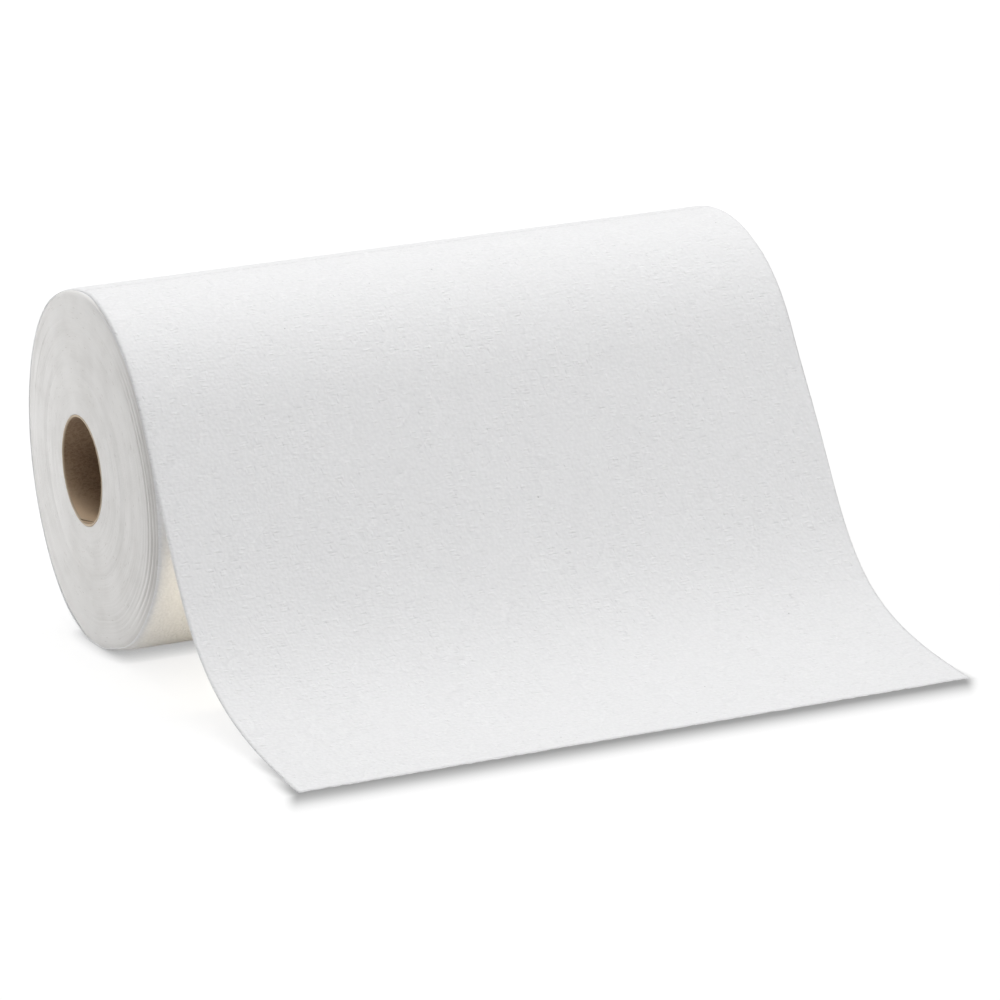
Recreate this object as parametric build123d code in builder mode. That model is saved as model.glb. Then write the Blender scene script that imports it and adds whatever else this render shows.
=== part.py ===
"""A roll of paper towels that lies on its side, with its last sheet drawn forward on to the table.

The roll has two pieces: the spiral-wound board tube in the middle, and one long web of
towel paper wound round it.  The web is one solid: its turns, the spiral seams that they
leave in both ends, and the free sheet that runs on from the last turn.

X runs along the roll, -Y is the side that the sheet is drawn to, and Z is up.
The origin is the middle of the tube's bore.
"""

from build123d import *
from math import atan2, cos, degrees, radians, sin
import os

# Web of towel paper
web_width = 279.4
paper_thickness = 0.5
ply_nesting = 0.05
roll_diameter = 145.0
flat_width = 21.5
flat_blend = 30.0
rim_round = 2.5

# Board tube
bore_diameter = 42.8
tube_wall = 0.9
glue_line = 0.1

# The soft roll's middle, seen from the tube's axis
roll_forward = 10.2
roll_rise = 0.7

# Seams between the turns, in both ends
seam_turns = 24
seam_width = 0.7
seam_depth = 1.0
seam_margin = 1.2

# Free sheet: it leaves the roll as a tangent, hangs straight, and curls out on to the table
leave_angle = 27.0
first_curl_radius = 84.0
first_curl_slope = 66.0
second_curl_radius = 165.0
landed_length = 10.0

# Worked out from the sizes above
half_width = web_width / 2
roll_radius = roll_diameter / 2
turn_pitch = paper_thickness - ply_nesting
tube_radius = bore_diameter / 2 + tube_wall
web_hole_radius = tube_radius + glue_line
inner_turns_radius = roll_radius - paper_thickness + ply_nesting / 2
roll_middle = Vector(-roll_forward, roll_rise)
table = roll_rise - (roll_radius**2 - (flat_width / 2) ** 2) ** 0.5


def half_turns(middle, line_angle, first_radius, growth, drift, count):
    """Draw a spiral of half circles that meet on one line through the middle.

    Each half turn's radius is larger than the last one's by the growth, and its centre
    lies further along the line by the drift, so the half circles meet as tangents.
    """
    along = Vector(1, 0).rotate(Axis.Z, line_angle)
    for number in range(count):
        way = 1 - 2 * (number % 2)
        radius = first_radius + growth * (number + 0.5) - way * drift / 2
        centre = middle + along * (drift * (number + 0.5) - way * growth / 2)
        CenterArc((centre.X, centre.Y), radius, line_angle + 180 * number, 180)


def cut_flat(round_sketch, underside):
    """Cut a round sketch off at a height, and blend the flat into the round."""
    with Locations((roll_middle.X, underside - roll_radius)):
        Rectangle(4 * roll_radius, 2 * roll_radius, mode=Mode.SUBTRACT)
    fillet(round_sketch.vertices().group_by(Axis.Y)[0], flat_blend)


# Seam cutter: a groove along a spiral whose centres drift from the tube's axis to the
# roll's middle, because the turns lie wider apart in front than behind
first_seam_radius = web_hole_radius + seam_margin + seam_width / 2
last_seam_radius = inner_turns_radius - rim_round - seam_margin - seam_width / 2
seam_growth = (last_seam_radius - first_seam_radius) / (2 * seam_turns)
seam_drift = roll_middle.length / (2 * seam_turns)
drift_angle = degrees(atan2(roll_rise, -roll_forward))

with BuildPart() as seam:
    with BuildLine(Plane.YZ.offset(-half_width)) as seam_path:
        half_turns(Vector(0, 0), drift_angle, first_seam_radius, seam_growth, seam_drift, 2 * seam_turns)
    start = seam_path.line @ 0
    with BuildSketch(Plane(start, x_dir=start + Vector(half_width, 0, 0), z_dir=seam_path.line % 0)):
        with BuildLine():
            Polyline((-seam_width, seam_depth), (seam_width, seam_depth), (0, -seam_depth), close=True)
        make_face()
    sweep(path=seam_path.line)

# Free sheet: the line of its middle, from where it leaves the roll to its torn edge
leave_slope = radians(leave_angle)
curl_slope = radians(first_curl_slope)
outward = Vector(-cos(leave_slope), sin(leave_slope))
leave_point = roll_middle + outward * (roll_radius - paper_thickness / 2)
curl_drop = first_curl_radius * (sin(curl_slope) - sin(leave_slope)) + second_curl_radius * (1 - sin(curl_slope))
hang_length = (leave_point.Y - table - paper_thickness / 2 - curl_drop) / cos(leave_slope)

with BuildLine() as sheet_path:
    hang = PolarLine((leave_point.X, leave_point.Y), hang_length, 270 - leave_angle)
    first_curl = JernArc(hang @ 1, hang % 1, first_curl_radius, leave_angle - first_curl_slope)
    second_curl = JernArc(first_curl @ 1, first_curl % 1, second_curl_radius, first_curl_slope - 90)
    PolarLine(second_curl @ 1, landed_length, 180)

# Web of towel paper: the inner turns with their soft rims, then the last turn and the
# free sheet as one band round them, then the hole for the tube and the seams
with BuildPart() as towel_web:
    with BuildSketch(Plane.YZ) as inner_turns:
        with Locations((roll_middle.X, roll_middle.Y)):
            Circle(inner_turns_radius)
        cut_flat(inner_turns, table + paper_thickness - ply_nesting / 2)
    extrude(amount=half_width, both=True)
    fillet(towel_web.faces().filter_by(Axis.X).edges(), rim_round)
    with BuildSketch(Plane.YZ) as last_turn:
        with BuildLine() as turn_line:
            half_turns(roll_middle, 180 - leave_angle, roll_radius - turn_pitch, turn_pitch / 2, 0, 2)
            Line(turn_line.line @ 1, turn_line.line @ 0)
        make_face()
        cut_flat(last_turn, table)
        trace(sheet_path.line, paper_thickness)
        with BuildSketch(mode=Mode.SUBTRACT) as under_last_turn:
            with Locations((roll_middle.X, roll_middle.Y)):
                Circle(roll_radius - turn_pitch - paper_thickness)
            cut_flat(under_last_turn, table + paper_thickness)
    extrude(amount=half_width, both=True)
    with BuildSketch(Plane.YZ):
        Circle(web_hole_radius)
    extrude(amount=half_width, both=True, mode=Mode.SUBTRACT)
    add(seam.part, mode=Mode.SUBTRACT)
    add(seam.part.mirror(Plane.YZ), mode=Mode.SUBTRACT)

# Board tube: it is cut to length with the web, so its ends are flush with the turns
with BuildPart() as core_tube:
    with BuildSketch(Plane.YZ):
        Circle(tube_radius)
        Circle(bore_diameter / 2, mode=Mode.SUBTRACT)
    extrude(amount=half_width, both=True)

towel_web.part.label = "towel_web"
core_tube.part.label = "core_tube"

os.makedirs("parts", exist_ok=True)
export_step(towel_web.part, "parts/towel_web.step")
export_step(core_tube.part, "parts/core_tube.step")
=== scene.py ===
"""A roll of white paper towels that lies on its side, with its last sheet drawn forward and curling out flat.

X runs along the roll, -Y is the side that the sheet is drawn to, and Z is up. The origin is in the middle of
the board tube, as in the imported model. Sizes are written in millimetres, and MM makes them metres. Only the
lamps are written in metres.
"""

import logging
from dataclasses import dataclass, field
from enum import Enum

import bpy
import numpy as np
from mathutils import Matrix, Vector


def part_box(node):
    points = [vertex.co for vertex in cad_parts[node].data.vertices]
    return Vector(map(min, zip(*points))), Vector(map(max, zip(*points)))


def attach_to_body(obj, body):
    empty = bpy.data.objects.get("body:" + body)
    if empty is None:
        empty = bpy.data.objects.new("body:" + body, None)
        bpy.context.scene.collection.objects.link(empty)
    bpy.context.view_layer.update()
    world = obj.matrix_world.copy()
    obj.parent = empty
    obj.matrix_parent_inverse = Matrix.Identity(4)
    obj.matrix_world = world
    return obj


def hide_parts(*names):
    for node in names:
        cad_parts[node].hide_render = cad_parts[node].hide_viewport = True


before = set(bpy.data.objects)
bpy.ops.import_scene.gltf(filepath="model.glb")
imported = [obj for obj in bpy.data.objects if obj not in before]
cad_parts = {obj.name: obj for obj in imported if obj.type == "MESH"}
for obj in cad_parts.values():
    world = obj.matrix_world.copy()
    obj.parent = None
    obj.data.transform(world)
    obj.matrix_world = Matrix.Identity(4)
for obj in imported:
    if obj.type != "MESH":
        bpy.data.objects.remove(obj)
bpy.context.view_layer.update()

MM = 0.001
PAPER_MAP = "paper"
WHITE = (1.0, 1.0, 1.0, 1.0)
WARM = (1.0, 0.88, 0.66)
# A Mix node has sockets of its own for each kind of value: these are the share and those for colours.
COLOUR_MIX_INPUTS = (0, 6, 7)
COLOUR_MIX_OUTPUT = 2

Array = np.ndarray
Object = bpy.types.Object
Material = bpy.types.Material
Nodes = bpy.types.NodeTree
Socket = bpy.types.NodeSocket
Value = Socket | float | tuple[float, ...]
Colour = tuple[float, float, float, float]
Point = tuple[float, float, float]
Range = tuple[float, float]

log = logging.getLogger("towel_roll")


class End(Enum):
    """An end of the roll, by the side of X = 0 that it is on."""

    SHOWN = -1
    FAR = 1


# Formulas


def ease(share: Array) -> Array:
    """Eases from 0 to 1 with level ends: three times the square of the share, less twice its cube."""
    held = np.clip(share, 0.0, 1.0)
    return held * held * (3.0 - 2.0 * held)


def eased(value: Array, edge: Range) -> Array:
    """Eases from 0 where a value is at the first number of the edge to 1 where it is at the second."""
    return ease((value - edge[0]) / (edge[1] - edge[0]))


def rounded_off(share: Array) -> Array:
    """How far a quarter round has fallen, from 0 to 1: one less the square root of one less the square."""
    return 1.0 - np.sqrt(1.0 - np.clip(share, 0.0, 1.0) ** 2)


def hump(value: Array, middle: float, reach: float) -> Array:
    """A bell of height 1: e to the minus square of the distance from its middle, in reaches."""
    return np.exp(-(((value - middle) / reach) ** 2))


def running_total(rate: Array, step: float) -> Array:
    """Adds up a rate along the last axis by the trapezium rule, from nothing at the first place.

    Args:
        rate: The rate at evenly spaced places.
        step: The distance between two places.

    Returns:
        The total so far at each place.
    """
    added = (rate[..., 1:] + rate[..., :-1]) * (step / 2.0)
    first = np.zeros(rate.shape[:-1] + (1,))
    return np.concatenate([first, np.cumsum(added, axis=-1)], axis=-1)


def smoothed(values: Array, reach: int) -> Array:
    """Evens out noise along the first axis with a moving mean, and mirrored ends.

    Args:
        values: The noise.
        reach: How many places the mean takes in on either side.

    Returns:
        The smoothed noise.
    """
    padded = np.concatenate([values[reach:0:-1], values, values[-2 : -reach - 2 : -1]])
    total = np.cumsum(np.concatenate([np.zeros_like(padded[:1]), padded]), axis=0)
    width = 2 * reach + 1
    return (total[width:] - total[:-width]) / width


# Meshes


def grid_quads(number: Array, close_rows: bool = False, close_columns: bool = False) -> Array:
    """The quads between the neighbours of a grid of vertex numbers.

    Args:
        number: Vertex numbers, rows by columns.
        close_rows: Whether the last row joins the first.
        close_columns: Whether the last column joins the first.

    Returns:
        Four vertex numbers for each quad, in the order that turns from the rows to the columns.
    """
    if close_rows:
        number = np.vstack([number, number[:1]])
    if close_columns:
        number = np.hstack([number, number[:, :1]])
    corners = (number[:-1, :-1], number[1:, :-1], number[1:, 1:], number[:-1, 1:])
    return np.stack(corners, axis=-1).reshape(-1, 4)


@dataclass
class QuadMesh:
    """A mesh of quads that is gathered patch by patch.

    Attributes:
        points: Vertices in mm, one row each.
        patches: For each patch its quads, its material's place in the list, and whether it is smooth.
    """

    points: Array
    patches: list[tuple[Array, int, bool]] = field(default_factory=list)

    def add(self, quads: Array, slot: int = 0, smooth: bool = True) -> None:
        """Adds a patch of quads that share a material and a shading."""
        self.patches.append((quads, slot, smooth))

    def build(self, name: str, materials: list[Material]) -> Object:
        """Makes the object, with its place in its mesh.

        Args:
            name: The piece's name.
            materials: Its materials, in the order that the patches count them.

        Returns:
            The new object, in the scene.
        """
        quads = np.concatenate([patch[0] for patch in self.patches]).astype(np.int32)
        counts = [len(patch[0]) for patch in self.patches]
        mesh = bpy.data.meshes.new(name)
        mesh.vertices.add(len(self.points))
        mesh.vertices.foreach_set("co", (self.points * MM).astype(np.float32).ravel())
        mesh.loops.add(quads.size)
        mesh.loops.foreach_set("vertex_index", quads.ravel())
        mesh.polygons.add(len(quads))
        mesh.polygons.foreach_set("loop_start", np.arange(0, quads.size, 4, dtype=np.int32))
        mesh.update(calc_edges=True)
        mesh.polygons.foreach_set("material_index", np.repeat([p[1] for p in self.patches], counts))
        mesh.polygons.foreach_set("use_smooth", np.repeat([p[2] for p in self.patches], counts))
        for material in materials:
            mesh.materials.append(material)
        mesh.validate()
        piece = bpy.data.objects.new(name, mesh)
        bpy.context.scene.collection.objects.link(piece)
        return piece


def mark_points(piece: Object, name: str, values: Array) -> None:
    """Stores one number for each vertex, which the piece's material reads by name."""
    layer = piece.data.attributes.new(name, "FLOAT", "POINT")
    layer.data.foreach_set("value", values.astype(np.float32).ravel())


def mark_surface(piece: Object, name: str, values: Array) -> None:
    """Stores two numbers for each vertex as the piece's UV map.

    Args:
        piece: The piece.
        name: The map's name.
        values: The place of each vertex over the paper, in mm.
    """
    corner = np.zeros(len(piece.data.loops), dtype=np.int32)
    piece.data.loops.foreach_get("vertex_index", corner)
    layer = piece.data.uv_layers.new(name=name)
    layer.data.foreach_set("uv", (values[corner] * MM).astype(np.float32).ravel())


# Shader nodes


@dataclass
class NodeSheet:
    """Short calls that add nodes to a tree and join them.

    Attributes:
        tree: The tree that the nodes go into.
    """

    tree: Nodes

    def plug(self, target: Socket, value: Value) -> None:
        """Joins a socket to another, or sets it to a value.

        Args:
            target: The input.
            value: The output that goes into it, or its value.
        """
        if isinstance(value, bpy.types.NodeSocket):
            self.tree.links.new(value, target)
        else:
            target.default_value = value

    def node(self, kind: str, **inputs: Value) -> bpy.types.Node:
        """Adds a node and plugs its inputs.

        Args:
            kind: The node's type.
            **inputs: What goes into its inputs, by their names in lower case with low lines for spaces.

        Returns:
            The node.
        """
        made = self.tree.nodes.new(kind)
        names = {socket.name.lower().replace(" ", "_"): socket for socket in reversed(made.inputs)}
        for name, value in inputs.items():
            self.plug(names[name], value)
        return made

    def math(self, operation: str, *values: Value) -> Socket:
        """Adds a Math node.

        Args:
            operation: What it does.
            *values: One, two or three values.

        Returns:
            Its result.
        """
        made = self.tree.nodes.new("ShaderNodeMath")
        made.operation = operation
        for socket, value in zip(made.inputs, values):
            self.plug(socket, value)
        return made.outputs[0]

    def product(self, *values: Value) -> Socket:
        """Multiplies values.

        Args:
            *values: Two or more values.

        Returns:
            Their product.
        """
        result = values[0]
        for value in values[1:]:
            result = self.math("MULTIPLY", result, value)
        return result

    def weighted(self, *parts: tuple[Socket, Value]) -> Socket:
        """Adds up values, each times its own weight.

        Args:
            *parts: Each value with its weight.

        Returns:
            Their sum.
        """
        total: Value = 0.0
        for value, weight in parts:
            total = self.math("MULTIPLY_ADD", value, weight, total)
        return total

    def bell(self, value: Socket) -> Socket:
        """A bell of height 1: e to the minus square of the value."""
        return self.math("EXPONENT", self.product(value, value, -1.0))

    def vector(self, operation: str, *values: Value) -> Socket:
        """Adds a Vector Math node.

        Args:
            operation: What it does.
            *values: One, two or three vectors.

        Returns:
            Its vector.
        """
        made = self.tree.nodes.new("ShaderNodeVectorMath")
        made.operation = operation
        for socket, value in zip(made.inputs, values):
            self.plug(socket, value)
        return made.outputs["Vector"]

    def combine(self, x: Value, y: Value, z: Value = 0.0) -> Socket:
        """Joins three numbers into a vector."""
        return self.node("ShaderNodeCombineXYZ", x=x, y=y, z=z).outputs[0]

    def split(self, vector: Socket) -> bpy.types.bpy_prop_collection:
        """Splits a vector into the three numbers X, Y and Z."""
        return self.node("ShaderNodeSeparateXYZ", vector=vector).outputs

    def step(self, value: Socket, edge: Range) -> Socket:
        """Goes smoothly from 0 to 1 over an edge.

        Args:
            value: The value.
            edge: Where it is 0 and where it is 1, whichever is greater.

        Returns:
            The step.
        """
        made = self.tree.nodes.new("ShaderNodeMapRange")
        made.interpolation_type = "SMOOTHSTEP"
        falls = edge[0] > edge[1]
        made.inputs["From Min"].default_value = min(edge)
        made.inputs["From Max"].default_value = max(edge)
        made.inputs["To Min"].default_value = float(falls)
        made.inputs["To Max"].default_value = float(not falls)
        self.plug(made.inputs["Value"], value)
        return made.outputs["Result"]

    def noise(self, vector: Socket, scale: float, detail: float = 2.0, roughness: float = 0.5) -> Socket:
        """Adds a Noise texture and gives its value."""
        made = self.node("ShaderNodeTexNoise", vector=vector, scale=scale, detail=detail, roughness=roughness)
        return made.outputs[0]

    def cells(self, vector: Socket, scale: float = 1.0) -> tuple[Socket, Socket, Socket]:
        """Adds a flat Voronoi texture.

        Args:
            vector: The place.
            scale: How many cells there are for each unit.

        Returns:
            The distance to the cell's middle, a number for each cell from 0 to 1, and its middle.
        """
        made = self.tree.nodes.new("ShaderNodeTexVoronoi")
        made.voronoi_dimensions = "2D"
        self.plug(made.inputs["Vector"], vector)
        self.plug(made.inputs["Scale"], scale)
        return made.outputs["Distance"], self.split(made.outputs["Color"])[0], made.outputs["Position"]

    def blend(self, share: Socket, low: Value, high: Value) -> Socket:
        """Mixes two colours.

        Args:
            share: How much of the second there is, from 0 to 1.
            low: The first colour.
            high: The second colour.

        Returns:
            The mixed colour.
        """
        made = self.tree.nodes.new("ShaderNodeMix")
        made.data_type = "RGBA"
        for number, value in zip(COLOUR_MIX_INPUTS, (share, low, high)):
            self.plug(made.inputs[number], value)
        return made.outputs[COLOUR_MIX_OUTPUT]

    def group(self, tree: Nodes, **inputs: Value) -> bpy.types.bpy_prop_collection:
        """Places a node group and plugs its inputs.

        Args:
            tree: The group.
            **inputs: What goes into its inputs, by their names in lower case.

        Returns:
            Its outputs.
        """
        made = self.tree.nodes.new("ShaderNodeGroup")
        made.node_tree = tree
        for name, value in inputs.items():
            self.plug(made.inputs[name.capitalize()], value)
        return made.outputs

    def place(self) -> Socket:
        """The place on the object, in metres."""
        return self.tree.nodes.new("ShaderNodeTexCoord").outputs["Object"]

    def place_in_mm(self) -> Socket:
        """The place on the object, in mm."""
        return self.vector("MULTIPLY", self.place(), (1.0 / MM,) * 3)

    def stored(self, name: str) -> Socket:
        """Reads a number that is stored on the piece.

        Args:
            name: Its name.

        Returns:
            The number.
        """
        made = self.tree.nodes.new("ShaderNodeAttribute")
        made.attribute_name = name
        return made.outputs["Fac"]

    def raise_surface(self, shader: bpy.types.Node, height: Socket, depth: float, strength: float) -> None:
        """Gives a shader the relief of a height from 0 to 1, with its depth in mm."""
        bump = self.node("ShaderNodeBump", height=height, distance=depth * MM, strength=strength)
        self.plug(shader.inputs["Normal"], bump.outputs[0])


def new_group(name: str, inputs: dict[str, str], outputs: dict[str, str]) -> tuple[NodeSheet, Nodes]:
    """Makes an empty node group with named sockets.

    Args:
        name: The group's name.
        inputs: Socket kinds by name, such as NodeSocketFloat.
        outputs: The same for what it puts out.

    Returns:
        The sheet that adds its nodes, and the tree.
    """
    tree = bpy.data.node_groups.new(name, "ShaderNodeTree")
    for title, kind in inputs.items():
        tree.interface.new_socket(name=title, in_out="INPUT", socket_type=kind)
    for title, kind in outputs.items():
        tree.interface.new_socket(name=title, in_out="OUTPUT", socket_type=kind)
    return NodeSheet(tree), tree


@dataclass(frozen=True)
class MattedFibres:
    """Matted fibres, which paper and board share: broad clouds, and a fine tangle of thin ridges.

    Attributes:
        cloud_scale: The scale of the clouds' noise, where that of the tangle is 1.
        detail: The detail of both noises.
        tangle_roughness: The roughness of the tangle's noise.
        thinness: The power that makes the ridges thin.
    """

    cloud_scale: float = 0.08
    detail: float = 3.0
    tangle_roughness: float = 0.6
    thinness: float = 6.0

    def build(self) -> Nodes:
        """Makes the group.

        Each ridge is where a noise crosses its middle: one less twice the distance from a half, to a power.

        Returns:
            A group with the inputs Place, in mm, and Size, and the outputs Cloud and Tangle, from 0 to 1.
        """
        kinds = {"Place": "NodeSocketVector", "Size": "NodeSocketFloat"}
        outputs = {"Cloud": "NodeSocketFloat", "Tangle": "NodeSocketFloat"}
        sheet, tree = new_group("matted_fibres", kinds, outputs)
        entry = tree.nodes.new("NodeGroupInput").outputs
        leave = tree.nodes.new("NodeGroupOutput").inputs
        scaled = sheet.node("ShaderNodeVectorMath", vector=entry["Place"])
        scaled.operation = "SCALE"
        sheet.plug(scaled.inputs["Scale"], sheet.math("DIVIDE", 1.0, entry["Size"]))
        sized = scaled.outputs["Vector"]
        sheet.plug(leave["Cloud"], sheet.noise(sized, self.cloud_scale, self.detail))
        tangle = sheet.noise(sized, 1.0, self.detail, self.tangle_roughness)
        away = sheet.math("ABSOLUTE", sheet.math("SUBTRACT", tangle, 0.5))
        ridge = sheet.math("MULTIPLY_ADD", away, -2.0, 1.0)
        sheet.plug(leave["Tangle"], sheet.math("POWER", ridge, self.thinness))
        return tree


@dataclass(frozen=True)
class PressedMarks:
    """Short marks pressed into paper, some up and some down, each with a painted lit side and a painted
    shaded side.

    Attributes:
        stretch: The cells per mm across and along the paper.
        size: The size of a mark, where its cell is 1.
        share: The share of the cells that have a mark.
        raised_part: The part of the marks that stand up, while the others are pressed down.
        blur: How wide the step between cells with and without a mark is, as a share of all cells.
        flat_part: The part of a mark's size that is at its full height.
        contrast: How strongly its painted shade changes over a mark.
        evenness: The painted shade in its middle.
    """

    stretch: tuple[float, float, float]
    size: float
    share: float
    raised_part: float = 0.6
    blur: float = 0.02
    flat_part: float = 0.3
    contrast: float = 2.4
    evenness: float = 0.40

    def add(self, sheet: NodeSheet, place: Socket) -> tuple[Socket, Socket]:
        """Adds the marks.

        A mark fills the middle of its cell. Its painted shade is its height times the distance from its
        middle along the paper, so that a raised one is painted pale above and dark below.

        Args:
            sheet: The sheet that adds the nodes.
            place: The place over the paper, in mm.

        Returns:
            The marks' height and their painted shade, up to about 1 either way.
        """
        placed = sheet.vector("MULTIPLY", place, self.stretch)
        away, kind, middle = sheet.cells(placed)
        raised, sunk = self.share * self.raised_part, self.share * (1.0 - self.raised_part)
        up = sheet.step(kind, (1.0 - raised, 1.0 - raised + self.blur))
        down = sheet.step(kind, (sunk, sunk - self.blur))
        within = sheet.step(away, (self.size, self.size * self.flat_part))
        height = sheet.product(within, sheet.math("SUBTRACT", up, down))
        above = sheet.split(sheet.vector("SUBTRACT", placed, middle))[1]
        lit = sheet.math("MULTIPLY_ADD", above, self.contrast / self.size, self.evenness)
        return height, sheet.product(height, lit)


@dataclass(frozen=True)
class PressedPaper:
    """Pressed towel paper: short marks that lie across the paper, soft pebbles, crepe and faint veins.

    Scales are in cells per mm. An edge is a pair of values between which something sets in.

    Attributes:
        bend_scale: The scale of the noise that bends the pattern.
        lying: The marks that lie across the paper.
        upright: The marks that lie along it.
        mark_height: The weight of the marks in the height.
        mark_shade: The weight of their painted lit and shaded sides in the tone.
        patch_scale: The scale of the patches in which the marks are strong.
        patch_edge: Where a patch sets in, in the value of its noise.
        calm: How strong the marks are outside the patches.
        pebble_scale: The scale of the pebbles.
        pebble_edge: Where a pebble sets in, in the distance from its middle.
        pebble_height: The weight of the pebbles in the height.
        crepe_stretch: The scale of the crepe across and along the paper.
        crepe_height: The weight of the crepe in the height.
        soft_middle: The height of pebbles and crepe at which their painted shade is even.
        soft_shade: The weight in the tone of their painted shade, paler where they are high and darker where
            low.
        vein_scale: The scale of the noise that the veins follow.
        vein_sharpness: How thin the veins are.
        vein_shade: The weight of the veins' painted light and shade in the tone.
        break_scale: The scale of the noise that breaks the veins up.
        break_edge: Where a vein sets in, in the value of that noise.
        fleck_scale: The scale of the flecks' cells.
        fleck_edge: Where a fleck sets in, in the distance from its middle.
        fleck_rarity: Which cells have a fleck, in the number of the cell.
    """

    bend_scale: float = 0.25
    lying: PressedMarks = PressedMarks((0.20, 0.64, 1.0), size=0.36, share=0.46)
    upright: PressedMarks = PressedMarks((0.60, 0.22, 1.0), size=0.32, share=0.20)
    mark_height: float = 0.32
    mark_shade: float = 0.24
    patch_scale: float = 0.045
    patch_edge: Range = (0.34, 0.60)
    calm: float = 0.40
    pebble_scale: float = 0.62
    pebble_edge: Range = (0.75, 0.05)
    pebble_height: float = 0.25
    crepe_stretch: tuple[float, float, float] = (0.24, 0.85, 1.0)
    crepe_height: float = 0.60
    soft_middle: float = 0.38
    soft_shade: float = 0.45
    vein_scale: float = 0.06
    vein_sharpness: float = 48.0
    vein_shade: float = 0.22
    break_scale: float = 0.13
    break_edge: Range = (0.48, 0.56)
    fleck_scale: float = 0.07
    fleck_edge: Range = (0.024, 0.012)
    fleck_rarity: Range = (0.97, 0.98)

    def vein(self, sheet: NodeSheet, place: Socket, bent: Socket) -> Socket:
        """Faint veins, which are only painted light and shade, with no relief.

        A vein is where a broad noise crosses its middle: that distance times e to its minus square, so that
        it is painted pale on one side and dark on the other.

        Args:
            sheet: The sheet that adds the nodes.
            place: The place over the paper, in mm.
            bent: The same place, bent a little.

        Returns:
            The veins' painted shade, up to about a half either way.
        """
        level = sheet.math("SUBTRACT", sheet.noise(bent, self.vein_scale, 1.0), 0.5)
        crossing = sheet.product(level, self.vein_sharpness)
        broken = sheet.step(sheet.noise(place, self.break_scale, 1.0), self.break_edge)
        return sheet.product(crossing, sheet.bell(crossing), broken)

    def build(self) -> Nodes:
        """Makes the group.

        A pebble is a cell that falls away from its middle. The crepe is a noise drawn out across the paper.
        The marks are calmer outside some patches.

        Returns:
            A group with the input Place, in mm over the paper, and the outputs Height, Tone and Fleck.
        """
        outputs = {"Height": "NodeSocketFloat", "Painted_shade": "NodeSocketFloat", "Fleck": "NodeSocketFloat"}
        sheet, tree = new_group("pressed_paper", {"Place": "NodeSocketVector"}, outputs)
        place = tree.nodes.new("NodeGroupInput").outputs["Place"]
        leave = tree.nodes.new("NodeGroupOutput").inputs
        bend = sheet.node("ShaderNodeTexNoise", vector=place, scale=self.bend_scale)
        bent = sheet.vector("ADD", place, bend.outputs["Color"])
        lying, lying_shade = self.lying.add(sheet, bent)
        upright, upright_shade = self.upright.add(sheet, bent)
        patch = sheet.step(sheet.noise(place, self.patch_scale, 1.0), self.patch_edge)
        busy = sheet.math("MULTIPLY_ADD", patch, 1.0 - self.calm, self.calm)
        marks = sheet.product(sheet.math("ADD", lying, upright), busy)
        marks_shade = sheet.product(sheet.math("ADD", lying_shade, upright_shade), busy)
        pebble = sheet.step(sheet.cells(bent, self.pebble_scale)[0], self.pebble_edge)
        crepe = sheet.noise(sheet.vector("MULTIPLY", place, self.crepe_stretch), 1.0)
        soft = sheet.weighted((pebble, self.pebble_height), (crepe, self.crepe_height))
        sheet.plug(leave["Height"], sheet.math("MULTIPLY_ADD", marks, self.mark_height, soft))
        # Painted shade: high pebbles and crepe are painted paler and low ones darker, and the marks and veins
        # get painted lit and shaded sides.
        soft_tone = sheet.math("SUBTRACT", soft, self.soft_middle)
        vein = self.vein(sheet, place, bent)
        tones = ((soft_tone, self.soft_shade), (marks_shade, self.mark_shade), (vein, self.vein_shade))
        sheet.plug(leave["Painted_shade"], sheet.weighted(*tones))
        away, kind, _ = sheet.cells(place, self.fleck_scale)
        fleck = sheet.product(sheet.step(away, self.fleck_edge), sheet.step(kind, self.fleck_rarity))
        sheet.plug(leave["Fleck"], fleck)
        return tree


@dataclass(frozen=True)
class SharedGroups:
    """The node groups that the finishes place.

    Attributes:
        fibres: Matted fibres.
        pressed: Pressed towel paper.
    """

    fibres: Nodes
    pressed: Nodes


# Finishes


def principled(name: str, roughness: float, specular: float) -> tuple[Material, NodeSheet, bpy.types.Node]:
    """Makes a material with a Principled shader.

    Args:
        name: The material's name.
        roughness: How matt it is.
        specular: Its specular level.

    Returns:
        The material, the sheet that adds its nodes, and the shader node.
    """
    material = bpy.data.materials.new(name)
    material.use_nodes = True
    shader = material.node_tree.nodes["Principled BSDF"]
    shader.inputs["Roughness"].default_value = roughness
    shader.inputs["Specular IOR Level"].default_value = specular
    return material, NodeSheet(material.node_tree), shader


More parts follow.
